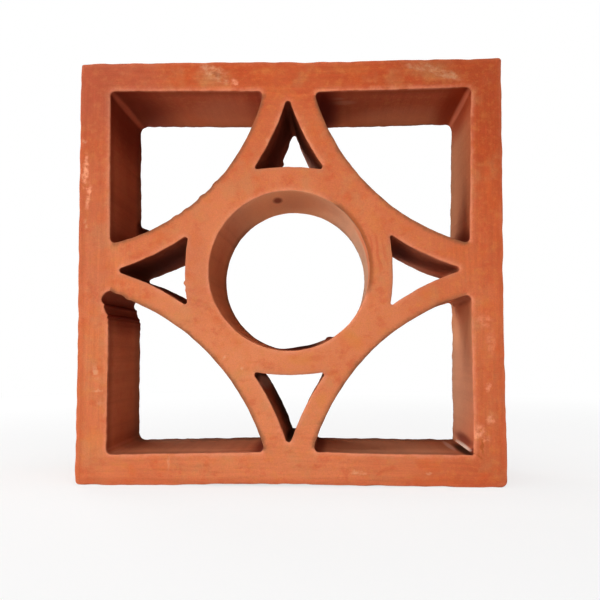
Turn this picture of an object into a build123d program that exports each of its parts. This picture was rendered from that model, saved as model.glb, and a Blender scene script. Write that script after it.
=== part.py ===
from build123d import *
import math
import os

# Pierced terracotta screen block, extruded and fired as one piece of clay
# Millimetres. X runs across the block, Z up, and the front face looks along -Y.
# The origin is the middle of the bottom bed, on which the block stands.

# Block
block_side = 200.0
block_depth = 65.0
outer_corner_radius = 1.6

# Square frame around the pattern
frame_width = 15.0
frame_corner_radius = 2.4

# Ring around the middle hole
bore_radius = 37.7
ring_width = 11.6
slot_base_radius = 100.0

# Four curved arms that join the ring to the frame
# The cover is the clay between the bore and a corner opening, along the block's diagonal.
bore_cover = 16.2
arm_arc_radius = 95.0
arm_width = 10.4
arm_end_radius = 2.2

# Slots in the arms' four tips
# The sharp point of a slot stops this far inside the frame's inner edge.
slot_point_setback = 1.8
slot_side_radius = 119.0
slot_point_radius = 0.8
slot_corner_radius = 1.0

# Bevel on the edges around both faces
arris_bevel = 0.8

half_side = block_side / 2
frame_inner_edge = half_side - frame_width
ring_radius = bore_radius + ring_width
arc_centre = (bore_radius + bore_cover + arm_arc_radius) / math.sqrt(2)


def circle_crossing(centre_a, radius_a, centre_b, radius_b):
    """The point where two circles cross, on the left of the way from centre a to centre b."""
    between = centre_b - centre_a
    along = (radius_a**2 - radius_b**2 + between.length**2) / (2 * between.length)
    across = math.sqrt(radius_a**2 - along**2)
    direction = between.normalized()
    sideways = Vector(-direction.Y, direction.X)
    return centre_a + direction * along + sideways * across


def nearest_vertex(sketch, point):
    """The corner of a sketch that lies nearest to a point."""
    return sketch.vertices().sort_by_distance(point)[0]


def corner_opening():
    """Opening in the upper right corner: the inside of the frame, cut off by one large arc."""
    middle = frame_inner_edge / 2
    quarter = Pos(middle, middle) * Rectangle(frame_inner_edge, frame_inner_edge)
    opening = quarter & Pos(arc_centre, arc_centre) * Circle(arm_arc_radius)
    frame_corner = nearest_vertex(opening, (frame_inner_edge, frame_inner_edge))
    opening = fillet(frame_corner, frame_corner_radius)
    arc_ends = [
        nearest_vertex(opening, (frame_inner_edge, 0)),
        nearest_vertex(opening, (0, frame_inner_edge)),
    ]
    return fillet(arc_ends, arm_end_radius)


def slot():
    """Slot above the ring: a base that follows the ring and two sides that bow inwards."""
    base_centre = Vector(0, ring_radius - slot_base_radius)
    arm_centre = Vector(arc_centre, arc_centre)
    right_corner = circle_crossing(base_centre, slot_base_radius, arm_centre, arm_arc_radius + arm_width)
    left_corner = Vector(-right_corner.X, right_corner.Y)
    point = Vector(0, frame_inner_edge - slot_point_setback)
    outline = [
        RadiusArc(left_corner, right_corner, slot_base_radius),
        RadiusArc(right_corner, point, slot_side_radius),
        RadiusArc(point, left_corner, slot_side_radius),
    ]
    opening = make_face(outline)
    base_corners = [nearest_vertex(opening, right_corner), nearest_vertex(opening, left_corner)]
    opening = fillet(base_corners, slot_corner_radius)
    return fillet(nearest_vertex(opening, point), slot_point_radius)


def section():
    """The block's section, the same over its whole depth, centred on the bore."""
    outside = Rectangle(block_side, block_side)
    outside = fillet(outside.vertices(), outer_corner_radius)
    openings = [Circle(bore_radius)]
    for quarter in range(4):
        turn = Rot(0, 0, 90 * quarter)
        openings.append(turn * corner_opening())
        openings.append(turn * slot())
    return outside - openings


def screen_block():
    """The section drawn out over the depth, with the edges of both faces bevelled."""
    upright = Plane.XZ.offset(-block_depth / 2)
    block = extrude(upright * section(), block_depth)
    face_edges = block.faces().filter_by(Axis.Y).edges()
    block = chamfer(face_edges, arris_bevel)
    return Pos(0, 0, half_side) * block


os.makedirs("parts", exist_ok=True)
export_step(screen_block(), "parts/screen_block.step")
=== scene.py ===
import math
import random
import bpy
import numpy as np
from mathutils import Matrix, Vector, kdtree, noise
from mathutils.geometry import delaunay_2d_cdt


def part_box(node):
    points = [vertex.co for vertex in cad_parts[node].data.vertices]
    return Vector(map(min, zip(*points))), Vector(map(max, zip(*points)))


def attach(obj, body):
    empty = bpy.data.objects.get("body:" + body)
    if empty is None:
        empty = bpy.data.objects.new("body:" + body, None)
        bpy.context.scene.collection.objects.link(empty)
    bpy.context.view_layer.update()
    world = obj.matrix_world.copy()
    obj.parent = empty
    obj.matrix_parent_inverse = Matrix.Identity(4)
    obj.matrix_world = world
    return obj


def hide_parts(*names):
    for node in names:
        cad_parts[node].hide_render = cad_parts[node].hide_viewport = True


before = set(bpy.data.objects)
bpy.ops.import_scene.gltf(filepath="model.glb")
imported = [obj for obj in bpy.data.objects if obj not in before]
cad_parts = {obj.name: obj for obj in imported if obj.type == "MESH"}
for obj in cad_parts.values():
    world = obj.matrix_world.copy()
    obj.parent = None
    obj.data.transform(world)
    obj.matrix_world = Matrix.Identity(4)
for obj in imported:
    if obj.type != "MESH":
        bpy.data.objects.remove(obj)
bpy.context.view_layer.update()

# Pierced terracotta screen block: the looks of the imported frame's one fired piece.
# Outlines are worked out in millimetres about the middle of the block, with X across and Z up,
# and turned into metres when the mesh is made. The front face looks along -Y.

low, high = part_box("screen_block")
MM = 0.001
half_side = (high.x - low.x) / 2 / MM
half_depth = (high.y - low.y) / 2 / MM
middle_height = (high.z + low.z) / 2 / MM

# The section, with the same names and values as the part's source
frame_corner_radius = 2.4
bore_radius = 37.7
ring_width = 11.6
slot_base_radius = 100.0
bore_cover = 16.2
arm_arc_radius = 95.0
arm_width = 10.4
arm_end_radius = 2.2
slot_side_radius = 119.0
slot_corner_radius = 1.0
ring_radius = bore_radius + ring_width
arc_centre = (bore_radius + bore_cover + arm_arc_radius) / math.sqrt(2)

# The photographed block is a little out of true, and so are its outlines here. Each corner opening has its
# frame corner, how far out the frame's edges lie where they meet the arm, and its arc's centre and radius.
corner_shapes = {
    (1, 1): ((85.85, 86.15), (84.25, 84.80), (111.4, 111.3), 102.8),
    (-1, 1): ((85.80, 86.60), (84.85, 85.45), (105.2, 105.9), 95.2),
    (-1, -1): ((85.15, 86.00), (85.10, 84.55), (117.0, 116.2), 110.7),
    (1, -1): ((84.95, 85.50), (84.75, 84.35), (111.2, 111.7), 103.8),
}

# The top, left, bottom and right slot: how far out its base is moved, its tip's place and the tip's radius,
# all before its quarter turns, and then its move across and up and how much wider it is all round
slot_shapes = [
    (0, (-0.45, 83.0), 1.0, (-0.15, -0.05), 0.25),
    (0, (0.2, 83.1), 1.15, (0.13, 0.04), 0.05),
    (-0.4, (0.3, 82.3), 1.1, (0.17, -0.11), 0.20),
    (-1.0, (-0.4, 82.7), 1.3, (0, -0.09), -0.20),
]

# The block's four sides bow in a little towards their middles.
side_bows = [
    [(-100, -100), (-60, -99.9), (-28, -99.2), (6, -99.1), (41, -99.7), (100, -100)],
    [(100, -100), (99.9, -60), (99.3, -28), (99.6, 5), (99.9, 50), (100, 100)],
    [(100, 100), (60, 99.8), (30, 99.4), (0, 99.5), (-30, 99.8), (-100, 100)],
    [(-100, 100), (-100, 40), (-99.8, -10), (-99.6, -45), (-99.8, -75), (-100, -100)],
]
outer_corner_radii = [2.0, 2.8, 1.5, 1.4]

# Spacing of points along a run as it is drawn, along walls, at bends, at small lumps and over faces, how far
# a step at a bend turns, in radians, and over how many fine points bends and spacing are smoothed
FINE = 0.1
WALL_SPACING = 1.45
TIGHT_SPACING = 0.30
KNOB_SPACING = 0.55
FACE_SPACING = 1.35
STEP_TURN = 0.35
BEND_POINTS = 6
SPACING_POINTS = 14
WALL_ROWS = 27
RIM_ROWS = 4


def unit(vector):
    return vector / np.hypot(*vector)


def wrapped(angle):
    """The angle brought between minus and plus half a turn."""
    return (angle + math.pi) % (2 * math.pi) - math.pi


def line_run(start, end):
    """Points along a straight run."""
    start = np.array(start, float)
    end = np.array(end, float)
    count = max(2, int(np.hypot(*(end - start)) / FINE) + 1)
    share = np.linspace(0, 1, count)[:, None]
    return start + (end - start) * share


def arc_run(start, end, centre):
    """Points along the shorter arc from start to end around a centre."""
    first = np.array(start, float) - centre
    last = np.array(end, float) - centre
    radius = np.hypot(*first)
    angle = math.atan2(first[1], first[0])
    sweep = wrapped(math.atan2(last[1], last[0]) - angle)
    count = max(3, int(abs(sweep) * radius / FINE) + 1)
    angles = angle + sweep * np.linspace(0, 1, count)
    return centre + radius * np.column_stack((np.cos(angles), np.sin(angles)))


def smooth_run(points):
    """A smooth curve through a few points, as Catmull-Rom spans."""
    points = [np.array(point, float) for point in points]
    padded = [2 * points[0] - points[1]] + points + [2 * points[-1] - points[-2]]
    spans = []
    for before, start, end, after in zip(padded, padded[1:], padded[2:], padded[3:]):
        count = max(3, int(np.hypot(*(end - start)) / FINE))
        t = np.linspace(0, 1, count, endpoint=False)[:, None]
        bend = 2 * start + (end - before) * t
        bend = bend + (2 * before - 5 * start + 4 * end - after) * t**2
        bend = bend + (3 * start - before - 3 * end + after) * t**3
        spans.append(bend / 2)
    spans.append(points[-1][None, :])
    return np.vstack(spans)


def distances(run):
    """How far along the run each of its points lies."""
    steps = np.hypot(*np.diff(run, axis=0).T)
    return np.concatenate(([0.0], np.cumsum(steps)))


def at_places(run, reach, places):
    """Points of a run at places on a scale on which its own points have the reaches."""
    return np.column_stack([np.interp(places, reach, run[:, axis]) for axis in (0, 1)])


def point_along(run, distance):
    return at_places(run, distances(run), [distance])[0]


def cut_back(run, at_start, at_end):
    """A run with a length taken off each end."""
    reach = distances(run)
    last = reach[-1] - at_end
    between = (reach > at_start + FINE / 3) & (reach < last - FINE / 3)
    start, end = at_places(run, reach, [at_start, last])
    return np.vstack((start, run[between], end))


def fillet_points(start, corner, end, weight):
    """An arc from start to end that is tangent to both runs, without its end points."""
    length = np.hypot(*(corner - start)) + np.hypot(*(end - corner))
    count = max(6, int(length / FINE))
    t = np.linspace(0, 1, count + 1)[1:-1, None]
    share_start = (1 - t)**2
    share_corner = 2 * weight * t * (1 - t)
    share_end = t**2
    total = share_start + share_corner + share_end
    return (share_start * start + share_corner * corner + share_end * end) / total


def closed_outline(runs, radii):
    """One closed outline from runs that meet at corners. Radius k rounds the start of run k."""
    setbacks = []
    weights = []
    for k, radius in enumerate(radii):
        back = unit(runs[k - 1][-2] - runs[k - 1][-1])
        ahead = unit(runs[k][1] - runs[k][0])
        half_angle = math.acos(np.clip(np.dot(back, ahead), -1, 1)) / 2
        setbacks.append(radius / math.tan(half_angle))
        weights.append(math.sin(half_angle))
    parts = []
    for k, run in enumerate(runs):
        following = (k + 1) % len(runs)
        parts.append(cut_back(run, setbacks[k], setbacks[following]))
        start = point_along(runs[following], setbacks[following])
        corner = runs[following][0]
        if setbacks[following] > 0:
            parts.append(fillet_points(parts[-1][-1], corner, start, weights[following]))
    outline = np.vstack(parts)
    gaps = np.hypot(*(outline - np.roll(outline, 1, axis=0)).T)
    return outline[gaps > FINE / 20]


def circle_crossing(centre_a, radius_a, centre_b, radius_b):
    """Where two circles cross, on the left of the way from centre a to centre b."""
    between = centre_b - centre_a
    length = np.hypot(*between)
    along = (radius_a**2 - radius_b**2 + length**2) / (2 * length)
    across = math.sqrt(radius_a**2 - along**2)
    direction = between / length
    sideways = np.array([-direction[1], direction[0]])
    return centre_a + direction * along + sideways * across


def corner_places(side_x, side_z):
    """A corner opening's frame corner, its arc's ends on the frame's side and bar, and the arc's centre."""
    signs = np.array([side_x, side_z])
    corner, (edge_x, edge_z), (centre_x, centre_z), radius = corner_shapes[side_x, side_z]
    side_end = signs * (edge_x, centre_z - math.sqrt(radius**2 - (centre_x - edge_x)**2))
    bar_end = signs * (centre_x - math.sqrt(radius**2 - (centre_z - edge_z)**2), edge_z)
    return signs * corner, side_end, bar_end, signs * (centre_x, centre_z)


def plain_corner_opening(side_x, side_z):
    """Opening in one corner: the inside of the frame, cut off by one large arc."""
    corner, side_end, bar_end, centre = corner_places(side_x, side_z)
    runs = [line_run(corner, side_end), arc_run(side_end, bar_end, centre), line_run(bar_end, corner)]
    return closed_outline(runs, [frame_corner_radius, arm_end_radius, arm_end_radius])


# The torn corner of the lower left opening, from the frame's edge up and round to the arc, and the radii
# between its scallops. The clay dragged here while it was pushed out, so the tear runs straight through.
tear_scallops = [
    [(-85, -28.6), (-85.15, -27.2), (-84.9, -25.9)],
    [(-84.9, -25.9), (-85.2, -24.6), (-85.05, -23)],
    [(-85.05, -23), (-85.6, -22), (-85.3, -20.8)],
    [(-85.3, -20.8), (-86.2, -19.9), (-86.9, -18.3), (-87.25, -17), (-86.95, -15.8)],
    [(-86.95, -15.8), (-87.9, -15.1), (-88.5, -13.9), (-88.3, -12.4), (-87.4, -11.1), (-86.1, -10),
     (-84.5, -9.5)],
    [(-84.5, -9.5), (-83.1, -10.3), (-82, -10.9), (-80.8, -11.1)],
    [(-80.8, -11.1), (-79.4, -11.3), (-78.1, -12.1), (-77, -13.1)],
    [(-77, -13.1), (-76, -13.8), (-74.8, -14.6)],
]
tear_radii = [1.0, 0.9, 0.9, 0.6, 0.5, 0.4, 0.4, 0.4, 1.0]


def torn_corner_opening():
    """Lower left opening, whose upper end is torn into scallops."""
    corner, side_end, bar_end, centre = corner_places(-1, -1)
    tear_end = np.array(tear_scallops[-1][-1])
    arc_start = centre + unit(tear_end - centre) * np.hypot(*(bar_end - centre))
    scallops = tear_scallops[:-1] + [tear_scallops[-1][:-1] + [tuple(arc_start)]]
    runs = [line_run(corner, scallops[0][0])]
    runs += [smooth_run(points) for points in scallops]
    runs += [arc_run(arc_start, bar_end, centre), line_run(bar_end, corner)]
    return closed_outline(runs, [frame_corner_radius] + tear_radii + [arm_end_radius])


# The burr in the lower right opening's outer corner: a thin ridge of clay along the depth, with its radii.
# It grows and runs out short of both faces, at these depths.
burr_top = [(84.9, -82.5), (85.0, -83.05), (84.35, -83.4)]
burr_tip = (83.55, -84.15)
burr_foot = (84.85, -84.75)
burr_radii = [0.3, 0.12, 0.12, 0.1, 0.55]
burr_depths = (-31.0, -26.5, 15.0, 22.0)


def burred_corner_opening():
    """Lower right opening, with the ridge of clay in its outer corner."""
    corner, side_end, bar_end, centre = corner_places(1, -1)
    runs = [
        line_run(side_end, burr_top[0]),
        smooth_run(burr_top),
        line_run(burr_top[-1], burr_tip),
        line_run(burr_tip, burr_foot),
        line_run(burr_foot, corner),
        line_run(corner, bar_end),
        arc_run(bar_end, side_end, centre),
    ]
    return closed_outline(runs, [arm_end_radius] + burr_radii + [arm_end_radius])


def turned(point, quarter):
    """A point turned by quarter turns about the middle."""
    x, z = point
    for _ in range(quarter):
        x, z = -z, x
    return np.array([x, z])


def bow_centre(start, end):
    """Centre of a slot's side, which lies on the right of the way from start to end."""
    way = end - start
    outwards = unit(np.array([way[1], -way[0]]))
    return (start + end) / 2 + outwards * math.sqrt(slot_side_radius**2 - (np.hypot(*way) / 2)**2)


def slot_outline(quarter):
    """Slot beyond the ring: its base follows the ring and its two sides bow inwards."""
    base_shift, tip, tip_radius, move, wider = slot_shapes[quarter]
    tip = np.array(tip)
    base_centre = np.array([0, ring_radius + base_shift - slot_base_radius])
    arm_centre = np.array([arc_centre, arc_centre])
    right = circle_crossing(base_centre, slot_base_radius, arm_centre, arm_arc_radius + arm_width)
    left = right * (-1, 1)
    corners = [turned(place, quarter) for place in (left, right, tip)]
    centres = [base_centre, bow_centre(right, tip), bow_centre(tip, left)]
    centres = [turned(centre, quarter) for centre in centres]
    runs = [arc_run(corners[k], corners[(k + 1) % 3], centres[k]) for k in range(3)]
    outline = closed_outline(runs, [slot_corner_radius, slot_corner_radius, tip_radius])
    side = 1 if signed_area(outline) > 0 else -1
    return outline + move + outward_normals(outline) * wider * side


def bore_outline():
    angles = np.linspace(0, 2 * math.pi, 2400, endpoint=False)
    return bore_radius * np.column_stack((np.cos(angles), np.sin(angles)))


def signed_area(outline):
    x, z = outline.T
    return 0.5 * np.sum(x * np.roll(z, -1) - np.roll(x, -1) * z)


def facing(outline, clay_inside):
    """The outline in the direction that keeps the clay on its left."""
    turns_left = signed_area(outline) > 0
    return outline if turns_left == clay_inside else outline[::-1]


def even_points(outline):
    """A closed outline with its points evenly spaced."""
    closed = np.vstack((outline, outline[:1]))
    reach = distances(closed)
    places = np.linspace(0, reach[-1], int(reach[-1] / FINE), endpoint=False)
    return at_places(closed, reach, places)


def around(values, width):
    """Closed running mean of values, over a width in points."""
    kernel = np.ones(width) / width
    padded = np.concatenate((values[-width:], values, values[:width]))
    return np.convolve(padded, kernel, "same")[width:-width]


# Small lumps of clay on the walls: place, depth, reach along the edge and the depth, height.
# The last four fill the frame's inner corners, which are rounder at the back.
knobs = [
    ((-49.9, -5.9), -30.5, 1.3, 3.5, 1.3),
    ((-49.9, -9.4), -31, 1.2, 3, 0.8),
    ((19.3, -32.4), 32, 1.7, 3.5, 1),
    ((9.3, -36.5), 33, 14.5, 16, 2.3),
    ((-85, 26.3), 31.5, 3, 4.5, 5.8),
    ((-8.2, 65), 32, 1.7, 3.5, 1.5),
    ((-41.6, 34.8), -32, 1.6, 3, 0.55),
    ((-35.1, 40.8), -32, 1.8, 3, 0.45),
    ((-49, 29), -32, 1.5, 3, 0.40),
    ((-54, 25.6), -32, 1.4, 3, 0.40),
    ((-85.1, 85.9), 32.5, 2.2, 14, 0.60),
    ((85.1, 85.4), 32.5, 2.2, 14, 0.60),
    ((-84.5, -85.3), 32.5, 2.2, 14, 0.60),
    ((84.2, -84.8), 32.5, 2, 8, 0.32),
]

# Lumps higher than this that reach less far than this get closer points, out to a multiple of their reach.
steep_height = 0.7
steep_reach = 5
closer_reach = 1.6


def point_spacing(points):
    """How far apart the points along an outline have to be: less at bends and about steep lumps."""
    steps = np.roll(points, -1, axis=0) - points
    angles = np.arctan2(steps[:, 1], steps[:, 0])
    bend = around(np.abs(wrapped(angles - np.roll(angles, 1))), BEND_POINTS) / FINE
    spacing = np.clip(STEP_TURN / np.maximum(bend, 1e-6), TIGHT_SPACING, WALL_SPACING)
    for (x, z), _, reach, _, height in knobs:
        if height > steep_height and reach < steep_reach:
            near = np.hypot(points[:, 0] - x, points[:, 1] - z) < closer_reach * reach
            spacing[near] = np.minimum(spacing[near], KNOB_SPACING)
    return spacing


def spaced_points(outline):
    """A closed outline with wide steps on its easy stretches and short ones at its bends."""
    points = even_points(outline)
    density = around(1 / point_spacing(points), SPACING_POINTS)
    reach = np.concatenate(([0.0], np.cumsum(density * FINE)))
    closed = np.vstack((points, points[:1]))
    places = np.linspace(0, reach[-1], int(round(reach[-1])), endpoint=False)
    return at_places(closed, reach, places)


def outward_normals(outline):
    """Directions out of the clay, which lies on the outline's left."""
    along = np.roll(outline, -1, axis=0) - np.roll(outline, 1, axis=0)
    along /= np.hypot(*along.T)[:, None]
    return np.column_stack((along[:, 1], -along[:, 0]))


def all_outlines():
    """The outer outline first, then the bore, the four corner openings and the four slots."""
    outer = closed_outline([smooth_run(points) for points in side_bows], outer_corner_radii)
    openings = [
        bore_outline(),
        plain_corner_opening(1, 1),
        plain_corner_opening(-1, 1),
        torn_corner_opening(),
        burred_corner_opening(),
    ]
    openings += [slot_outline(quarter) for quarter in range(4)]
    outlines = [facing(outer, True)] + [facing(opening, False) for opening in openings]
    return [spaced_points(outline) for outline in outlines]


def bumps(points, widths, seed):
    """Smooth noise at points, about -1 to 1, whose bumps are as wide as the widths say."""
    shifted = points / np.array(widths, float) + np.array([17.3, 5.1, 9.7]) * seed
    return np.array([noise.noise(place) for place in shifted.tolist()])


# Layers of relief: height, the widths of the bumps, and their seed, to which faces and rims add their own
wall_layers = [
    (0.22, (26, 60, 26), 1), (0.12, (7, 30, 7), 2), (0.03, (1.6, 40, 1.6), 3), (0.05, (2.2, 2.2, 2.2), 4),
]
ragged_layers = [(0.36, (4.5, 12, 4.5), 5), (0.16, (1.8, 8, 1.8), 6)]
torn_layers = [(0.13, (4, 12, 4), 7)]
nick_layers = [(0.4, (7, 12, 7), 8)]
face_layers = [
    (0.15, (38, 38, 38), 0), (0.05, (9, 9, 9), 1), (0.03, (2.4, 2.4, 14), 2), (0.03, (1.7, 1.7, 1.7), 3),
]
rim_layers = [(0.35, (9, 9, 9), 0), (0.25, (2.5, 2.5, 2.5), 1)]

# How much less ragged the bore is at the back, how much of the relief the outer sides have, and how far the
# outer sides and the faces are set back, so that their relief stays inside the solid
bore_smoothing = 0.75
outer_share = 0.6
outer_setback = 0.12
face_setback = 0.15


def relief_of(layers, points, seed=0):
    return sum(height * bumps(points, widths, seed + own) for height, widths, own in layers)


def smoothstep(start, end, values):
    share = np.clip((values - start) / (end - start), 0, 1)
    return share * share * (3 - 2 * share)


def plateau(limits, values):
    """A smooth rise from nought to one between the first two limits, and a fall between the last two."""
    start, full, last, end = limits
    return smoothstep(start, full, values) * smoothstep(end, last, values)


# A place a little below the middle. Edges that look towards it are pale with wear and a painted highlight,
# and the others are brown with painted shade. Slots' edges are mostly pale, and one stretch of the bore's
# edge, in degrees, is brown all the same.
highlight_middle = np.array([14.0, -26.0])
widest_slot = 45
slot_wear_and_highlight = 0.7
browned_and_shaded_stretch = (-22, -8, 50, 66)


def edge_tones(outline):
    """One where an edge is pale with wear and a painted highlight, nought where it is brown with painted
    shade.
    """
    towards = highlight_middle - outline
    towards /= np.hypot(*towards.T)[:, None]
    tones = smoothstep(-0.25, 0.35, np.sum(outward_normals(outline) * towards, axis=1))
    if np.ptp(outline, axis=0).max() < widest_slot:
        return np.maximum(tones, slot_wear_and_highlight)
    angles = np.degrees(np.arctan2(outline[:, 1], outline[:, 0]))
    in_bore = np.hypot(*outline.T) < bore_radius + 1
    return np.where(in_bore, tones * (1 - plateau(browned_and_shaded_stretch, angles)), tones)


def knob_relief(points):
    relief = np.zeros(len(points))
    for (x, z), depth, reach, deep, height in knobs:
        across = np.hypot(points[:, 0] - x, points[:, 2] - z) / reach
        along = (points[:, 1] - depth) / deep
        relief += height * np.exp(-across**4 - along**2)
    return relief


def wall_relief(points):
    """How far the walls stand out at points: waves, drag lines along the depth and a ragged back."""
    depths = points[:, 1]
    relief = relief_of(wall_layers, points)
    in_bore = smoothstep(bore_radius + 4, bore_radius + 2, np.hypot(points[:, 0], points[:, 2]))
    ragged = smoothstep(half_depth - 9, half_depth, depths) * (1 - bore_smoothing * in_bore)
    relief += ragged * relief_of(ragged_layers, points)
    relief += smoothstep(half_depth - 5, half_depth, -depths) * relief_of(torn_layers, points)
    return relief + knob_relief(points)


def outer_relief(points):
    """The relief of the block's outer sides, which never stand out, with nicks towards the front."""
    nicked = smoothstep(half_depth - 7, half_depth - 1, -points[:, 1])
    nicks = nicked * relief_of(nick_layers, points)
    return np.minimum(outer_share * wall_relief(points) + nicks - outer_setback, 0)


def in_space(outline, depth):
    """The outline's points in space, at their depths."""
    return np.column_stack((outline[:, 0], depth, outline[:, 1]))


def face_level(places, side):
    """How far from the middle a cut face lies: gentle waves, the cutting wire's drag and small pits."""
    points = in_space(places, np.zeros(len(places)))
    relief = relief_of(face_layers, points, 30 + side * 5)
    return np.minimum(half_depth - face_setback + relief, half_depth)


# Chips along the edges of the two faces: place, reach along the edge and how much is gone
front_chips = [
    (-99.5, 62, 3.0, 0.6), (-99.5, -38, 2.2, 0.5), (99.5, 27, 2.6, 0.6), (99.5, -61, 3.2, 0.7),
    (12, 99.5, 2.6, 0.6), (-66, 99.5, 2.4, 0.5), (38, -99.5, 3.0, 0.6), (-22, -99.5, 2.2, 0.5),
    (98.9, -98.9, 3.6, 0.9), (-98.9, 98.9, 2.6, 0.6), (84, 52, 1.8, 0.4), (-86, 44, 1.6, 0.4),
]
back_chips = [
    (20, -32, 2.2, 1.2), (-52, 85.6, 3.0, 0.9), (86, -30, 3.4, 1.0), (-99.5, 20, 4.5, 1.3),
    (99.5, 71, 3.6, 1.1), (99.5, -12, 2.6, 0.8), (-74, -99.5, 4.2, 1.2), (31, 99.5, 3.4, 1.0),
    (-99, -99, 5.0, 1.6), (46, 85.6, 2.2, 0.8), (-38, -85.1, 2.6, 0.8), (-86, 60, 2.4, 0.8),
    (61, -99.5, 2.8, 0.9), (98.9, 98.9, 3.4, 1.1), (-20, 99.5, 2.4, 0.8), (-30, 23, 2.2, 0.7),
]

# How far the faces' edges are rounded off, at least and at most. The most is a share of a bend's own radius.
front_rim = 0.55
back_rim = 0.6
smallest_rim = 0.25
rim_in_bend = 0.6

# The bottom slot's tip is filled up to a height, by a share, more and more between two depths.
fill_height = -79.3
fill_share = 0.85
fill_depths = (18.0, 32.0)


def at_depth(outline, depth):
    """The outline at a depth, where the burr may have run out and the bottom slot's tip may be filled."""
    x, z = outline.T
    burr = (np.abs(x - 84) < 2) & (z < burr_top[0][1]) & (z > -85.2)
    flattened = x + (burr_top[0][0] - x) * (1 - plateau(burr_depths, depth))
    tip = (np.abs(x) < 6) & (z < fill_height) & (z > -84)
    raised = z + (fill_height - z) * fill_share * smoothstep(*fill_depths, depth)
    return np.column_stack((np.where(burr, flattened, x), np.where(tip, raised, z)))


def rim_limits(outline):
    """The most that each point's edge can be rounded off, which is little on a narrow ridge of clay."""
    arriving = outline - np.roll(outline, 1, axis=0)
    leaving = np.roll(outline, -1, axis=0) - outline
    turns = wrapped(np.arctan2(leaving[:, 1], leaving[:, 0]) - np.arctan2(arriving[:, 1], arriving[:, 0]))
    lengths = (np.hypot(*arriving.T) + np.hypot(*leaving.T)) / 2
    limits = rim_in_bend * lengths / np.maximum(turns, 1e-3)
    nearby = [np.roll(limits, step) for step in range(-2, 3)]
    return np.min(nearby, axis=0)


def rim_sizes(outline, base, chips, seed):
    """How far each point's edge is rounded off, with its chips."""
    points = in_space(outline, np.zeros(len(outline)))
    sizes = base * (1 + relief_of(rim_layers, points, seed))
    for x, z, reach, depth in chips:
        gap = np.hypot(outline[:, 0] - x, outline[:, 1] - z)
        sizes += depth * np.exp(-(gap / reach)**2)
    return np.minimum(np.maximum(sizes, smallest_rim), rim_limits(outline))


def row_levels(outline):
    """Inset and depth of each row of a wall, from the front face's rounded edge to the back face's."""
    front = rim_sizes(outline, front_rim, front_chips, 11)
    back = rim_sizes(outline, back_rim, back_chips, 21)
    front_level = -face_level(outline, -1)
    back_level = face_level(outline, 1)
    start = front_level + front
    end = back_level - back
    angles = [math.pi / 2 * row / RIM_ROWS for row in range(RIM_ROWS)]
    rounding = [(1 - math.sin(angle), 1 - math.cos(angle)) for angle in angles]
    levels = [(front * inset, front_level + front * drop) for inset, drop in rounding]
    levels += [(0 * start, start + (end - start) * share) for share in np.linspace(0, 1, WALL_ROWS)]
    levels += [(back * inset, back_level - back * drop) for inset, drop in reversed(rounding)]
    return levels


def loop_rows(outline, outermost):
    """All rows of one outline's wall, from the front face's edge to the back face's edge."""
    rows = []
    for inset, depth in row_levels(outline):
        here = at_depth(outline, depth)
        points = in_space(here, depth)
        relief = outer_relief(points) if outermost else wall_relief(points)
        here = here + (relief - inset)[:, None] * outward_normals(here)
        rows.append(in_space(here, depth))
    return np.array(rows)


def inside(places, loop):
    """Which places lie inside a closed loop."""
    result = np.zeros(len(places), bool)
    px, pz = places.T
    ends = np.roll(loop, -1, axis=0)
    for (ax, az), (bx, bz) in zip(loop, ends):
        if az == bz:
            continue
        crosses = (az > pz) != (bz > pz)
        result ^= crosses & (px < (bx - ax) * (pz - az) / (bz - az) + ax)
    return result


def in_clay(places, loops):
    result = inside(places, loops[0])
    for loop in loops[1:]:
        result &= ~inside(places, loop)
    return result


# Points over a face stand on a grid of triangles. They are moved by up to this share of its step, and stay
# clear of the edges by the other share.
grid_jitter = 0.22
edge_clearance = 0.62


def grid_points(seed):
    """Points spread loosely over the whole square of a face."""
    rng = random.Random(seed)
    rise = FACE_SPACING * math.sqrt(3) / 2
    rows = int(half_side / rise) + 1
    columns = int(half_side / FACE_SPACING) + 1
    spots = []
    for row in range(-rows, rows + 1):
        offset = FACE_SPACING / 2 if row % 2 else 0.0
        for column in range(-columns, columns + 1):
            x = column * FACE_SPACING + offset + rng.uniform(-grid_jitter, grid_jitter) * FACE_SPACING
            z = row * rise + rng.uniform(-grid_jitter, grid_jitter) * FACE_SPACING
            spots.append((x, z))
    return np.array(spots)


def face_points(loops, seed):
    """Points over a face, a little apart from its edges, with the nearest edge point and its distance."""
    spots = grid_points(seed)
    spots = spots[in_clay(spots, loops)]
    edge_points = np.vstack(loops)
    tree = kdtree.KDTree(len(edge_points))
    for index, (x, z) in enumerate(edge_points):
        tree.insert((x, z, 0), index)
    tree.balance()
    found = [tree.find((x, z, 0)) for x, z in spots]
    nearest = np.array([index for _, index, _ in found])
    gaps = np.array([gap for _, _, gap in found])
    clear = gaps > edge_clearance * FACE_SPACING
    return spots[clear], nearest[clear], gaps[clear]


def face_triangles(loops, seed):
    """Triangles over a face. The first points are the loops' own, in order."""
    spots, nearest, gaps = face_points(loops, seed)
    points = np.vstack(loops + [spots])
    edges = []
    start = 0
    for loop in loops:
        count = len(loop)
        edges += [(start + k, start + (k + 1) % count) for k in range(count)]
        start += count
    vectors = [Vector(point) for point in points.tolist()]
    result = delaunay_2d_cdt(vectors, edges, [], 0, 1e-5)
    originals = [members[0] for members in result[3]]
    triangles = np.array([[originals[corner] for corner in face] for face in result[2]])
    centres = points[triangles].mean(axis=1)
    return spots, nearest, gaps, triangles[in_clay(centres, loops)]


def wall_faces(numbers):
    """Four-sided faces of one wall, between its rows of vertex numbers."""
    following = np.roll(numbers, -1, axis=1)
    quads = np.stack((numbers[:-1], numbers[1:], following[1:], following[:-1]), axis=-1)
    return quads.reshape(-1, 4).tolist()
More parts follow.
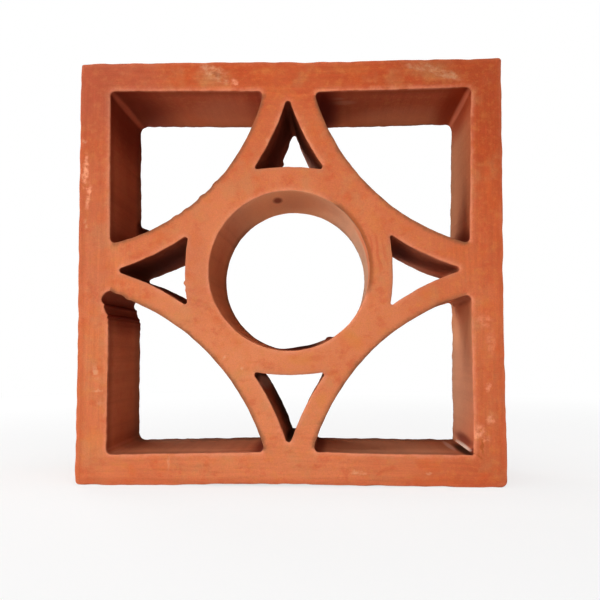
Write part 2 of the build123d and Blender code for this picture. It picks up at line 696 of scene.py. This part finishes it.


# How worn the outer edges are, how browned the openings' edges are at the back, and how strongly and how far
# the pale wear and painted highlight and the brown and painted shade spread from the edges over the faces
outer_wear = 0.35
back_browning = 0.6
face_spread = {"worn_and_highlight": (0.45, 1.4), "browned_and_shade": (0.6, 1.2)}


def rim_shares(rows, outline, outermost):
    """How much pale wear and painted highlight, and how much brown and painted shade, each point of a wall
    has: nought but on its two rounded edges.
    """
    shares = {"worn_and_highlight": np.zeros(rows.shape[:2]), "browned_and_shade": np.zeros(rows.shape[:2])}
    if outermost:
        shares["worn_and_highlight"][:RIM_ROWS + 1] = outer_wear
    else:
        tones = edge_tones(outline)
        shares["worn_and_highlight"][:RIM_ROWS + 1] = tones
        shares["browned_and_shade"][:RIM_ROWS + 1] = 1 - tones
        shares["browned_and_shade"][-RIM_ROWS - 1:] = back_browning
    return shares


def linked(name, data):
    """A new object of the data, in the scene."""
    thing = bpy.data.objects.new(name, data)
    bpy.context.scene.collection.objects.link(thing)
    return thing


def block_object(points, faces, shares):
    """A smooth mesh object of points in millimetres, which carries the shares."""
    points[:, 2] += middle_height
    mesh = bpy.data.meshes.new("terracotta_block")
    mesh.from_pydata((points * MM).tolist(), [], faces)
    mesh.update()
    mesh.shade_smooth()
    for name, values in shares.items():
        mesh.attributes.new(name, "FLOAT", "POINT").data.foreach_set("value", values)
    return linked("terracotta_block", mesh)


def build_block():
    """The whole block as one closed mesh object: all outlines' walls and the two faces between them."""
    outlines = all_outlines()
    walls = [loop_rows(outline, k == 0) for k, outline in enumerate(outlines)]
    points = [rows.reshape(-1, 3) for rows in walls]
    numbers = []
    faces = []
    total = 0
    for rows, part in zip(walls, points):
        numbers.append(np.arange(total, total + len(part)).reshape(rows.shape[:2]))
        faces += wall_faces(numbers[-1])
        total += len(part)
    rims = [rim_shares(rows, outline, k == 0) for k, (rows, outline) in enumerate(zip(walls, outlines))]
    shares = {name: np.concatenate([rim[name].ravel() for rim in rims]) for name in face_spread}
    for side, row in ((-1, 0), (1, -1)):
        loops = [rows[row][:, [0, 2]] for rows in walls]
        edge_numbers = np.concatenate([wall_numbers[row] for wall_numbers in numbers])
        spots, nearest, gaps, triangles = face_triangles(loops, 40 + side)
        face_numbers = np.concatenate((edge_numbers, np.arange(total, total + len(spots))))
        total += len(spots)
        order = triangles if side < 0 else triangles[:, ::-1]
        faces += face_numbers[order].tolist()
        points.append(in_space(spots, side * face_level(spots, side)))
        for name, (strength, reach) in face_spread.items():
            spread = strength * shares[name][edge_numbers[nearest]] * np.exp(-(gaps / reach)**2)
            shares[name] = np.concatenate((shares[name], spread))
    return block_object(np.vstack(points), faces, shares)


def aim(thing, place, target):
    thing.location = place
    direction = Vector(target) - Vector(place)
    thing.rotation_euler = direction.to_track_quat("-Z", "Y").to_euler()


# The camera stands low and a little right of the middle, as in the photograph. Places are in metres.
camera_place = (0.0202, -0.4125, 0.063)
camera_target = (0.0052, -0.0325, 0.086)
focal_length = 49
light_target = (0, 0, 0.1)


def add_camera():
    data = bpy.data.cameras.new("camera")
    data.lens = focal_length
    data.sensor_width = 36
    data.clip_start = 0.01
    camera = linked("camera", data)
    aim(camera, camera_place, camera_target)
    bpy.context.scene.camera = camera


# Each light's name, place and width in metres, and power in watts
lights = [
    ("front_low", (-0.2, -1.5, 0.1), 0.8, 17.7),
    ("front_high_right", (0.8, -1.2, 1.3), 1.0, 5.4),
    ("left_low", (-1.2, -0.3, 0.06), 0.5, 8.3),
    ("front_left_low", (-0.6, -0.9, 0.04), 0.5, 1.2),
    ("behind_left_low", (-0.7, 0.8, 0.05), 0.5, 12.6),
    ("behind_left_high", (-0.6, 1.1, 1.2), 0.8, 2.5),
    ("top_light", (0.0, -0.2, 1.8), 1.2, 19.0),
    ("right_side", (1.8, 0.02, 0.30), 0.15, 9.0),
]


def soft_light(name, place, size, power):
    """A square area light that looks at the middle of the block and stays out of the picture."""
    data = bpy.data.lights.new(name, "AREA")
    data.size = size
    data.energy = power
    light = linked(name, data)
    aim(light, place, light_target)
    light.visible_camera = False


class Shading:
    """Short ways to add nodes to a tree and join them."""

    def __init__(self, tree):
        self.nodes = tree.nodes
        self.links = tree.links

    def fill(self, node, inputs):
        """Joins a node's inputs to outputs or sets them to plain values, by their names or numbers."""
        for name, value in inputs.items():
            if isinstance(value, bpy.types.NodeSocket):
                self.links.new(value, node.inputs[name])
            else:
                node.inputs[name].default_value = value
        return node

    def add(self, kind, inputs=None):
        return self.fill(self.nodes.new("ShaderNode" + kind), inputs or {})

    def math(self, operation, *values, clamp=False):
        node = self.add("Math", dict(enumerate(values)))
        node.operation = operation
        node.use_clamp = clamp
        return node.outputs["Value"]

    def product(self, *values):
        result = values[0]
        for value in values[1:]:
            result = self.math("MULTIPLY", result, value)
        return result

    def scaled_sum(self, value, factor, rest, clamp=False):
        """The value times the factor, plus the rest."""
        return self.math("MULTIPLY_ADD", value, factor, rest, clamp=clamp)

    def vector_math(self, operation, values):
        node = self.add("VectorMath", dict(enumerate(values)))
        node.operation = operation
        return node

    def vector(self, operation, *values):
        return self.vector_math(operation, values).outputs["Vector"]

    def measure(self, operation, *values):
        """A vector's length, or two vectors' dot product."""
        return self.vector_math(operation, values).outputs["Value"]

    def noise(self, places, widths, detail=2, roughness=0.5, output="Fac"):
        """Noise from 0 to 1 whose patches are about as wide as the widths, in millimetres."""
        spread = self.vector("MULTIPLY", places, [1 / width for width in widths])
        inputs = {"Vector": spread, "Scale": 1, "Detail": detail, "Roughness": roughness}
        return self.add("TexNoise", inputs).outputs[output]

    def ramp(self, value, start, end, lowest=0):
        """A smooth step from its lowest value at start to 1 at end."""
        node = self.add("MapRange", {"Value": value, "From Min": start, "From Max": end, "To Min": lowest})
        node.interpolation_type = "SMOOTHSTEP"
        return node.outputs["Result"]

    def blend(self, share, first, second):
        node = self.nodes.new("ShaderNodeMix")
        node.data_type = "RGBA"
        colours = [k for k, socket in enumerate(node.inputs) if socket.type == "RGBA"]
        self.fill(node, {"Factor": share, colours[0]: first, colours[1]: second})
        return [socket for socket in node.outputs if socket.type == "RGBA"][0]

    def spot(self, places, centre, size, turn=0):
        """One in the middle of an ellipsoid and nought outside it, turned in degrees about the depth.

        It does without mapping nodes, because the renderer has no room for so many of them at once and paints
        the clay black.
        """
        from_centre = self.vector("SUBTRACT", places, centre)
        wide, deep, tall = [2 / side for side in size]
        if turn == 0:
            place = self.vector("MULTIPLY", from_centre, (wide, deep, tall))
        else:
            cosine = math.cos(math.radians(turn))
            sine = math.sin(math.radians(turn))
            axes = [(cosine * wide, 0, sine * wide), (0, deep, 0), (-sine * tall, 0, cosine * tall)]
            parts = [self.measure("DOT_PRODUCT", from_centre, axis) for axis in axes]
            place = self.add("CombineXYZ", dict(enumerate(parts))).outputs["Vector"]
        return self.ramp(self.measure("LENGTH", place), *spot_edge)


# A spot fades out between these shares of its half size.
spot_edge = (1.15, 0.35)

white = (1, 1, 1, 1)
floor_grey = (0.88, 0.88, 0.88, 1)
floor_reach = 6

# The floor's share of plain white near the block, and the distances between which it grows to all of it
floor_whiteness = 0.75
floor_fade = (0.10, 0.80)


def add_world():
    """White to the camera and dark for the block, which only the lights shine on."""
    world = bpy.data.worlds.new("studio")
    bpy.context.scene.world = world
    world.use_nodes = True
    shading = Shading(world.node_tree)
    shading.nodes.clear()
    seen = shading.add("LightPath").outputs["Is Camera Ray"]
    background = shading.add("Background", {"Color": white, "Strength": seen})
    shading.add("OutputWorld", {"Surface": background.outputs["Background"]})


def add_floor():
    """A pale floor that fades into the white all round."""
    mesh = bpy.data.meshes.new("floor")
    corners = [(floor_reach * x, floor_reach * y, 0) for x, y in ((-1, -1), (1, -1), (1, 1), (-1, 1))]
    mesh.from_pydata(corners, [], [(0, 1, 2, 3)])
    material = bpy.data.materials.new("pale_floor")
    material.use_nodes = True
    mesh.materials.append(material)
    shading = Shading(material.node_tree)
    shading.nodes.clear()
    distance = shading.measure("LENGTH", shading.add("TexCoord").outputs["Object"])
    seen = shading.add("LightPath").outputs["Is Camera Ray"]
    share = shading.product(shading.ramp(distance, *floor_fade, floor_whiteness), seen)
    paint = shading.add("BsdfDiffuse", {"Color": floor_grey}).outputs["BSDF"]
    glow = shading.add("Emission", {"Color": white, "Strength": 1}).outputs["Emission"]
    mix = shading.add("MixShader", {"Fac": share, 1: paint, 2: glow})
    shading.add("OutputMaterial", {"Surface": mix.outputs["Shader"]})
    linked("floor", mesh)


# Colours of the clay, its dust and its marks, and of its painted light, sheen, highlights and shade
tints = {
    "deep": (0.515, 0.108, 0.033, 1), "pale": (0.715, 0.300, 0.150, 1), "red": (0.560, 0.115, 0.045, 1),
    "yellow": (0.640, 0.260, 0.080, 1), "olive": (0.520, 0.300, 0.140, 1), "scored": (0.420, 0.110, 0.025, 1),
    "orange": (0.640, 0.160, 0.040, 1), "glow": (0.770, 0.270, 0.105, 1), "dusk": (0.420, 0.160, 0.115, 1),
    "ash": (0.420, 0.320, 0.250, 1), "tan": (0.820, 0.400, 0.210, 1), "peach": (0.860, 0.430, 0.270, 1),
    "corner_shade": (0.380, 0.055, 0.008, 1), "ruddy": (0.700, 0.240, 0.130, 1), "dust_and_sheen": (0.730, 0.485, 0.320, 1),
    "smear": (0.730, 0.485, 0.320, 1), "white": (0.850, 0.700, 0.600, 1), "worn_and_highlight": (0.740, 0.325, 0.200, 1),
    "brown": (0.270, 0.115, 0.060, 1), "dark": (0.200, 0.020, 0.006, 1), "umber": (0.090, 0.038, 0.022, 1),
    "black": (0.045, 0.020, 0.010, 1),
}

# Mottled patches: tint, shift of the noise, the patches' widths, the noise's roughness, where a patch starts
# and where it is full, its strength on the walls, and how much stronger it is on the faces
mottling = [
    ("red", (0, 0, 0), (6.5, 9, 5), 0.6, 0.50, 0.72, 0.46, 0),
    ("yellow", (71, 13, 39), (7.5, 9, 6), 0.6, 0.50, 0.74, 0.08, 0.34),
    ("yellow", (71, 13, 39), (2.6, 4, 2.2), 0.65, 0.48, 0.70, 0.30, 0),
    ("olive", (-37, 59, 11), (13, 20, 13), 0.6, 0.50, 0.70, 0, 0.26),
    ("orange", (23, -59, -41), (12, 20, 12), 0.6, 0.50, 0.70, 0, 0.30),
]

# Marks on the front face, by tint: across, up, width, height, strength and, for some, a turn in degrees. They
# are scuffs, chalky patches, scratches and places where the clay fired to another colour.
front_marks = {
    "dusk": [(-90, 90, 76, 70, 0.34), (-92, 20, 20, 120, 0.16), (-43, 0, 12, 60, 0.16)],
    "scored": [(88.7, -81.4, 1.9, 9, 0.6, 6), (87.4, -86, 6, 1.9, 0.5, -32)],
    "smear": [(-36.1, 94.9, 14, 7, 0.55, -12), (-32.7, 91.3, 9, 3.4, 0.48, -25),
        (-41.1, 97.3, 6, 3.4, 0.44, 10), (73.4, 92.7, 19, 4.6, 0.55, -19), (59.5, 95.9, 12, 3.6, 0.42, -14),
        (66.4, 96.1, 10, 2.6, 0.4, -22), (-97.5, 61.6, 2.6, 4, 0.4), (-96.7, 21.8, 1.8, 8, 0.35),
        (-90.7, -47.6, 2.8, 8, 0.42, 10), (-88.4, -61.9, 5, 4, 0.3), (32.1, -93.6, 8, 2.4, 0.42),
        (-10.3, 61.6, 3, 2, 0.35)],
    "peach": [(-25.9, 89.5, 4.6, 4, 0.7, -20), (-97, 47.7, 3.4, 21, 0.85, -2),
        (-95.6, 35.9, 3.2, 14, 0.75, -5), (91.8, -54.6, 3, 5, 0.6), (92.6, -69.1, 4, 6.6, 0.55),
        (87.2, -74.5, 6.6, 8, 0.75), (85.9, -76.4, 3.2, 3.4, 0.7), (90, -78, 4.4, 3.4, 0.6, 15),
        (90.1, -23.2, 9, 9, 0.34), (93.5, -34, 5, 14, 0.26)],
    "dust_and_sheen": [(-89.7, -56.3, 6.6, 1.6, 0.32, 3), (-55.9, -89.5, 1.8, 7, 0.22),
        (-30.4, -41.1, 2.4, 1.6, 0.35, 30), (-21.8, -45.9, 2, 1.6, 0.32), (64.3, -93.6, 3.8, 1.8, 0.36)],
    "olive": [(-36.1, 92.3, 22, 12, 0.24, -5), (67.4, 93.7, 34, 11, 0.26, -10)],
    "brown": [(-34.6, 93.9, 6, 2.4, 0.36, -20)],
    "red": [(23, -51.2, 4, 5.5, 0.3, 15), (20.2, -47.6, 9, 4, 0.25, 20), (-69, 7.9, 12, 5, 0.25, 10),
        (12, -41, 12, 4, 0.3, 10)],
    "yellow": [(15.2, -60.5, 6, 9, 0.5, -15), (-90.9, -79.8, 9, 16, 0.25), (30.6, 95.5, 26, 6, 0.2),
        (5, -42, 15, 6, 0.5), (29, -31.5, 16, 8, 0.42, -45), (40, 22, 8, 16, 0.3, 20)],
}

# Marks on the openings' walls, by tint: across, depth, up, width, length along the depth, height, strength
# and, for some, a turn. The dark ones are painted shade in the slots, the tear and its creases, at the arms'
# ends, in the frame's corners, on lumps and beside the burr, where they also paint the burr's shadow. The
# pale ones are partly dust and chalky clay and partly painted light, sheen and highlights.
wall_marks = {
    # Painted sheen on the bore's right wall.
    "ash": [(38, 12, 2, 18, 110, 60, 0.34)],
    # Painted light on walls the lamps leave too dark: the lower right opening's right wall and arm end, the
    # bore's top and left walls, and the lower left opening's left wall.
    "tan": [(-85.2, 22, -52, 4, 90, 70, 0.22), (84.9, 0, -24, 5, 150, 30, 0.7),
        (81.5, 2, -14.5, 12, 110, 8, 0.6), (-4, 2, 38, 64, 140, 34, 0.8), (-37, 8, -4, 20, 130, 60, 0.22)],
    "orange": [(37, -26, 8, 18, 26, 56, 0.6)],
    # Partly dust and partly painted light: on lumps by the left slot, on the top and bottom walls of the
    # corner openings and on the lower right opening's right wall.
    "dust_and_sheen": [(-49.5, -29, -6.2, 3.6, 8, 4, 0.6), (-49.5, -30, -9.6, 3, 6, 2.6, 0.45),
        (25.2, -13.5, 85, 16, 9, 4, 0.3), (22.5, -20, 85, 9, 6, 4, 0.25), (60, 14, 85.6, 70, 44, 4, 0.16),
        (-32, 4, 85.8, 44, 56, 4, 0.2), (46, -6, -85, 84, 70, 4, 0.4), (-50, -2, -85, 90, 60, 4, 0.16),
        (84.9, 12, -47, 4, 150, 76, 0.34)],
    "olive": [(85, 6, 50, 4, 100, 90, 0.3)],
    "brown": [(70, 30, 8, 46, 50, 26, 0.28)],
    # Painted shade in the upper right opening's outer corner.
    "corner_shade": [(84, 0, 86, 24, 110, 30, 0.8)],
    # Painted shade in the slots, the tear's creases, at the arms' ends, in the frame's corners, on lumps and
    # in the bore, and the burr's painted shadow beside it.
    "dark": [(0, 0, 68, 56, 140, 66, 0.55), (-68, 0, 0, 66, 140, 56, 0.6),
        (-84, 0, -16.5, 32, 140, 30, 0.62), (14, 0, 84, 24, 140, 20, 0.9),
        (-85.5, 0, 86, 56, 150, 60, 0.66), (-12, 0, 84, 12, 120, 14, 0.65),
        (-13, 0, -84, 13, 120, 10, 0.75), (13, 0, -84, 9, 120, 10, 0.6), (84.5, 4, 13, 9, 130, 18, 0.72),
        (84, -16, -12.5, 10, 60, 7, 0.3), (54, 6, 11, 15, 120, 11, 0.75), (70, -26, 8, 46, 24, 26, 0.25),
        (-86, 0, 15, 12, 120, 14, 0.5), (-85.3, 0, -20.9, 4, 140, 3.4, 0.95),
        (-86.9, 0, -15.8, 4.4, 140, 3.4, 0.95), (-79, 10, -12, 12, 120, 6, 0.9, 20),
        (-6.8, -10, 37.1, 6, 20, 4, 0.8), (4, 32, -37, 54, 56, 8, 0.95), (19, 32, -33, 8, 30, 8, 0.95),
        (-83, 31, 27.5, 16, 26, 14, 0.95), (-85.7, -30, 86.4, 9, 24, 9, 0.8),
        (85.7, -30, 86, 7, 12, 7, 0.6), (85, -4, -81, 2.4, 64, 7, 0.72), (84, -30, -84, 5, 12, 5, 0.8)],
    # Painted shade deep in the bottom slot, at the back of the bore's bottom and on the upper left ledge, and
    # the burr's painted shadow on the bottom wall.
    "black": [(-8, 30, -70, 26, 84, 42, 0.85), (-1, 0, -82, 10, 140, 12, 0.8),
        (-16, 0, -50, 7, 110, 7, 0.7), (4, 10, -53, 40, 60, 8, 0.3), (10, 33, -36, 36, 44, 8, 0.85),
        (-82, 32, 28, 16, 24, 12, 0.8), (82.8, -12, -85.5, 7, 66, 2.6, 0.85)],
    # A pale patch in the bottom slot, and painted highlights on the burr's ridge and on the bottom wall
    # beside it.
    "white": [(-13.2, 0, -52.9, 11, 62, 9, 0.97), (83.9, -6, -83.8, 2.6, 62, 1.5, 0.95, 45),
        (78.6, 4, -85.3, 4, 46, 3, 0.6)],
    # Painted highlight lines along the lower left opening's outer corner, and painted light over the walls
    # right of the bore.
    "worn_and_highlight": [(-85.2, -1, -83.9, 2.2, 70, 2.2, 0.6), (-83.2, -1, -85.9, 2.2, 70, 2.2, 0.6),
        (66, 0, 0, 60, 140, 50, 0.5)],
    # Painted highlight lines along the upper openings' outer corners.
    "ruddy": [(-84.9, -2, 85.7, 4.2, 84, 4.2, 0.5), (84.9, 1, 85.2, 3.4, 90, 3.4, 0.85)],
}
broken_tints = ("smear", "peach")
front_mark_depth = 6

# Spacing of the scored lines round the bore, width and reach of the wandering that makes the front marks
# ragged, and width of the pits
scored_spacing = 3.2
wander_width = 2.4
wander_reach = 3.4
pit_width = 2.6


class Clay(Shading):
    """The clay's places and masks, and its colour, which is built up from them tint by tint."""

    def __init__(self, tree):
        super().__init__(tree)
        coordinates = self.add("TexCoord").outputs["Object"]
        from_middle = self.vector("SUBTRACT", coordinates, (0, 0, middle_height * MM))
        self.places = self.vector("MULTIPLY", from_middle, (1 / MM, 1 / MM, 1 / MM))
        self.x, self.y, self.z = self.add("SeparateXYZ", {"Vector": self.places}).outputs
        normal = self.add("SeparateXYZ", {"Vector": self.add("NewGeometry").outputs["Normal"]}).outputs
        self.across = normal["X"]
        self.upward = normal["Z"]
        self.face = self.ramp(self.math("ABSOLUTE", normal["Y"]), 0.55, 0.85)
        self.wall = self.math("SUBTRACT", 1, self.face)
        self.ledge = self.product(self.ramp(self.upward, 0.5, 0.9), self.wall)
        self.facing_left = self.ramp(self.across, -0.6, -0.9)
        self.squares = self.math("ADD", self.product(self.x, self.x), self.product(self.z, self.z))
        self.outer = self.math("MAXIMUM", self.math("ABSOLUTE", self.x), self.math("ABSOLUTE", self.z))
        self.openings = self.ramp(self.outer, half_side - 4, half_side - 6)
        behind_front = self.ramp(self.y, 0.6 - half_depth, 1.6 - half_depth)
        self.inner = self.product(behind_front, self.ramp(normal["Y"], 0.85, 0.5), self.openings)
        self.clouds = self.noise(self.places, (22, 22, 22), 3, 0.55)
        self.grain = self.noise(self.places, (0.55, 0.55, 0.55), 2, 0.7)
        self.lines = self.noise(self.places, (3.2, 140, 3.2), 4, 0.55)

    def radial(self, start, end):
        """A smooth step between two distances from the bore's axis."""
        return self.ramp(self.squares, start**2, end**2)

    def attribute(self, name):
        node = self.add("Attribute")
        node.attribute_name = name
        return node.outputs["Fac"]

    def tint(self, name, *shares):
        """Blends a tint over the colour so far, by the product of its shares and strength."""
        self.colour = self.blend(self.product(*shares), self.colour, tints[name])

    def ground(self):
        """Deep orange red, mottled, and paler on the faces and towards the middle and the lower left. The
        paleness towards the middle and the lower left is partly the clay's fired colour and partly painted
        sheen and light from the lower left.
        """
        # Painted sheen and light from the lower left over the clay's fired colour: paler towards the middle,
        # the left and the bottom.
        paleness_and_painted_light = self.scaled_sum(self.squares, -0.38e-4, 0.37)
        for value, factor in ((self.x, -0.0013), (self.z, -0.0032), (self.clouds, 0.5)):
            paleness_and_painted_light = self.scaled_sum(value, factor, paleness_and_painted_light)
        paleness_and_painted_light = self.scaled_sum(self.face, 0.1, paleness_and_painted_light, clamp=True)
        self.colour = self.blend(paleness_and_painted_light, tints["deep"], tints["pale"])
        for name, shift, widths, roughness, start, full, on_walls, more_on_faces in mottling:
            shifted = self.vector("ADD", self.places, shift)
            patches = self.ramp(self.noise(shifted, widths, 3, roughness), start, full)
            self.tint(name, patches, self.scaled_sum(self.face, more_on_faces, on_walls))

    def wall_dust_and_sheen(self):
        """Paler walls all over and paler upward walls low down, painted sheen and light from behind on the
        right-hand walls and the bore's upper right, and drag lines along the depth.
        """
        self.tint("dust_and_sheen", self.wall, 0.12)
        # Painted sheen and light from behind, on the right-hand walls and growing towards the back.
        self.tint("dust_and_sheen", self.facing_left, self.ramp(self.y, -40, 30), 0.30)
        self.tint("dark", self.ramp(self.lines, 0.55, 0.30), self.wall, 0.12)
        self.tint("worn_and_highlight", self.ramp(self.lines, 0.55, 0.75), self.wall, 0.08)
        upper_right = self.ramp(self.scaled_sum(self.x, 0.6, self.z), -15, 30)
        # Painted light on the bore's upper right walls.
        self.tint("dust_and_sheen", self.radial(44, 40), upper_right, self.wall, 0.62)
        self.tint("dust_and_sheen", self.ledge, self.ramp(self.z, -40, -55), 0.22)

    def wall_shades(self):
        """Painted bounce light under the upper bars, painted shade at the walls' front ends and on the back
        parts of the less lit walls, and dark bands along the walls' back edges.
        """
        hanging = self.ramp(self.upward, -0.6, -0.9)
        # Painted bounce light from below on the walls under the upper bars, growing towards the back.
        self.tint("glow", hanging, self.radial(60, 66), self.wall, self.ramp(self.y, -22, 26), 0.45)
        # Painted shade at the front ends of the walls outside the bore, but not on the right-hand walls.
        front = self.ramp(self.y, 13 - half_depth, 1.5 - half_depth)
        front = self.product(front, self.ramp(self.across, -0.7, -0.3), self.radial(40, 44))
        self.tint("dark", front, self.wall, 0.40)
        # Painted shade on the walls' back parts, less on those facing down and on the right-hand walls, which
        # the lamps light more.
        unlit_share = self.scaled_sum(hanging, -0.6, self.scaled_sum(self.facing_left, -0.75, 1))
        self.tint("umber", self.ramp(self.y, half_depth - 17, half_depth - 4), self.wall, unlit_share, 0.36)
        self.tint("brown", self.ramp(self.y, half_depth - 4, half_depth - 1.5), self.wall, 0.66)
        back = self.ramp(self.y, half_depth - 7, half_depth - 1)
        self.tint("black", back, self.ledge, self.openings, 0.55)

    def edges(self):
        """Edges around the openings: pale with wear and a painted highlight on some, brown with painted shade
        on the others; and a deeper band along the outer edges.
        """
        self.tint("deep", self.ramp(self.outer, half_side - 5, half_side - 1), self.face, 0.45)
        breaks = self.ramp(self.noise(self.places, (5, 5, 5), 2, 0.6), 0.30, 0.62)
        # Pale wear and painted highlight on the edges that look towards a place below the middle, and brown
        # and painted shade on the others.
        self.tint("worn_and_highlight", self.attribute("worn_and_highlight"), self.scaled_sum(breaks, 0.40, 0.20))
        self.tint("brown", self.attribute("browned_and_shade"), self.scaled_sum(breaks, 0.35, 0.50))

    def drag_marks(self):
        """Dark scored lines that follow the ring on its right side, and the bore's scored right edge."""
        angle = self.math("ARCTAN2", self.z, self.x)
        wave = self.noise(self.places, (12, 12, 12), 1)
        radius = self.scaled_sum(wave, 6, self.math("SQRT", self.squares))
        rings = self.math("SINE", self.product(radius, 2 * math.pi / scored_spacing))
        on_right = self.product(self.ramp(angle, -0.12, 0.10), self.ramp(angle, 0.55, 0.30), self.face)
        on_ring = self.product(self.radial(38.5, 40.5), self.radial(47.5, 44))
        self.tint("red", self.ramp(rings, -0.4, 1), on_right, on_ring, 0.42)
        on_right = self.product(self.ramp(angle, -0.30, 0), self.ramp(angle, 1.05, 0.60), self.face)
        self.tint("scored", on_right, self.radial(40.2, 38.6), 0.55)

    def mark(self, table, places, mask):
        """Marks of one tint after the other, where the mask allows them."""
        broken = self.ramp(self.noise(self.places, (3, 3, 2.2), 3, 0.6), 0.30, 0.66)
        for name, rows in table.items():
            share = broken if name in broken_tints else 1
            largest = 0
            for x, y, z, wide, deep, tall, strength, *turn in rows:
                spot = self.spot(places, (x, y, z), (wide, deep, tall), *turn)
                largest = self.math("MAXIMUM", self.product(spot, strength), largest)
            self.tint(name, largest, share, mask)

    def mark_front(self):
        """The front face's marks, in places that wander across and up, so that their edges are ragged."""
        drift = self.noise(self.places, [wander_width] * 3, 3, output="Color")
        drift = self.vector("SUBTRACT", drift, (0.5, 0.5, 0.5))
        drift = self.vector("MULTIPLY", drift, (wander_reach, 0, wander_reach))
        wandering = self.vector("ADD", self.places, drift)
        table = {}
        for name, rows in front_marks.items():
            table[name] = [(x, -half_depth, z, wide, front_mark_depth, *rest) for x, z, wide, *rest in rows]
        self.mark(table, wandering, self.face)

    def brushed(self):
        """Faint light and dark streaks, about nought, that run along the frame's four bars."""
        upright = self.noise(self.places, (1.2, 6, 16), 2, 0.6)
        level = self.noise(self.places, (16, 6, 1.2), 2, 0.6)
        lean = self.math("SUBTRACT", self.math("ABSOLUTE", self.x), self.math("ABSOLUTE", self.z))
        share = self.ramp(lean, -8, 8)
        streaks = self.scaled_sum(level, self.math("SUBTRACT", 1, share), self.product(upright, share))
        return self.product(self.math("SUBTRACT", streaks, 0.5), self.face, self.radial(60, 82))

    def shade(self):
        """How light the colour is: grain, brushed streaks and painted shade over the upper right corner."""
        shade = self.scaled_sum(self.brushed(), 0.26, self.scaled_sum(self.grain, 0.34, 0.83))
        # Painted shade, darkening the upper right corner.
        corner = self.ramp(self.math("ADD", self.x, self.z), 105, 190)
        return self.scaled_sum(corner, -0.16, shade)

    def bump(self, height, strength, distance, **normal):
        inputs = {"Height": height, "Strength": strength, "Distance": distance * MM}
        return self.add("Bump", {**inputs, **normal}).outputs["Normal"]

    def relief(self):
        """Relief too fine for the mesh: drag lines on the walls, and grain, bumps and pits all over."""
        spread = self.vector("MULTIPLY", self.places, [1 / pit_width] * 3)
        pits = self.add("TexVoronoi", {"Vector": spread, "Scale": 1}).outputs["Distance"]
        height = self.scaled_sum(self.ramp(pits, 0.16, 0.05), -0.06, self.product(self.grain, 0.10))
        height = self.scaled_sum(self.noise(self.places, (2.2, 2.2, 2.2), 2, 0.6), 0.12, height)
        drawn = self.bump(self.lines, self.product(self.wall, 0.35), 0.35)
        return self.bump(height, 0.8, 1, Normal=drawn)


def terracotta():
    """Fired clay with its marks, worn edges and dust, and painted light, sheen, highlights and shade."""
    material = bpy.data.materials.new("terracotta_clay")
    material.use_nodes = True
    clay = Clay(material.node_tree)
    clay.ground()
    clay.wall_dust_and_sheen()
    clay.wall_shades()
    clay.edges()
    clay.drag_marks()
    clay.mark_front()
    clay.mark(wall_marks, clay.places, clay.inner)
    scaled = clay.fill(clay.vector_math("SCALE", [clay.colour]), {"Scale": clay.shade()})
    inputs = {
        "Base Color": scaled.outputs["Vector"],
        "Roughness": clay.scaled_sum(clay.clouds, 0.2, 0.66),
        "Specular IOR Level": clay.scaled_sum(clay.face, 0.22, 0.03),
        "Normal": clay.relief(),
    }
    clay.fill(clay.nodes["Principled BSDF"], inputs)
    return material


add_camera()
add_world()
add_floor()
for name, place, size, power in lights:
    soft_light(name, place, size, power)
block = build_block()
block.data.materials.append(terracotta())
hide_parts("screen_block")
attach(block, "root")
bpy.context.scene.view_settings.view_transform = "Standard"
bpy.context.scene.view_settings.gamma = 0.8
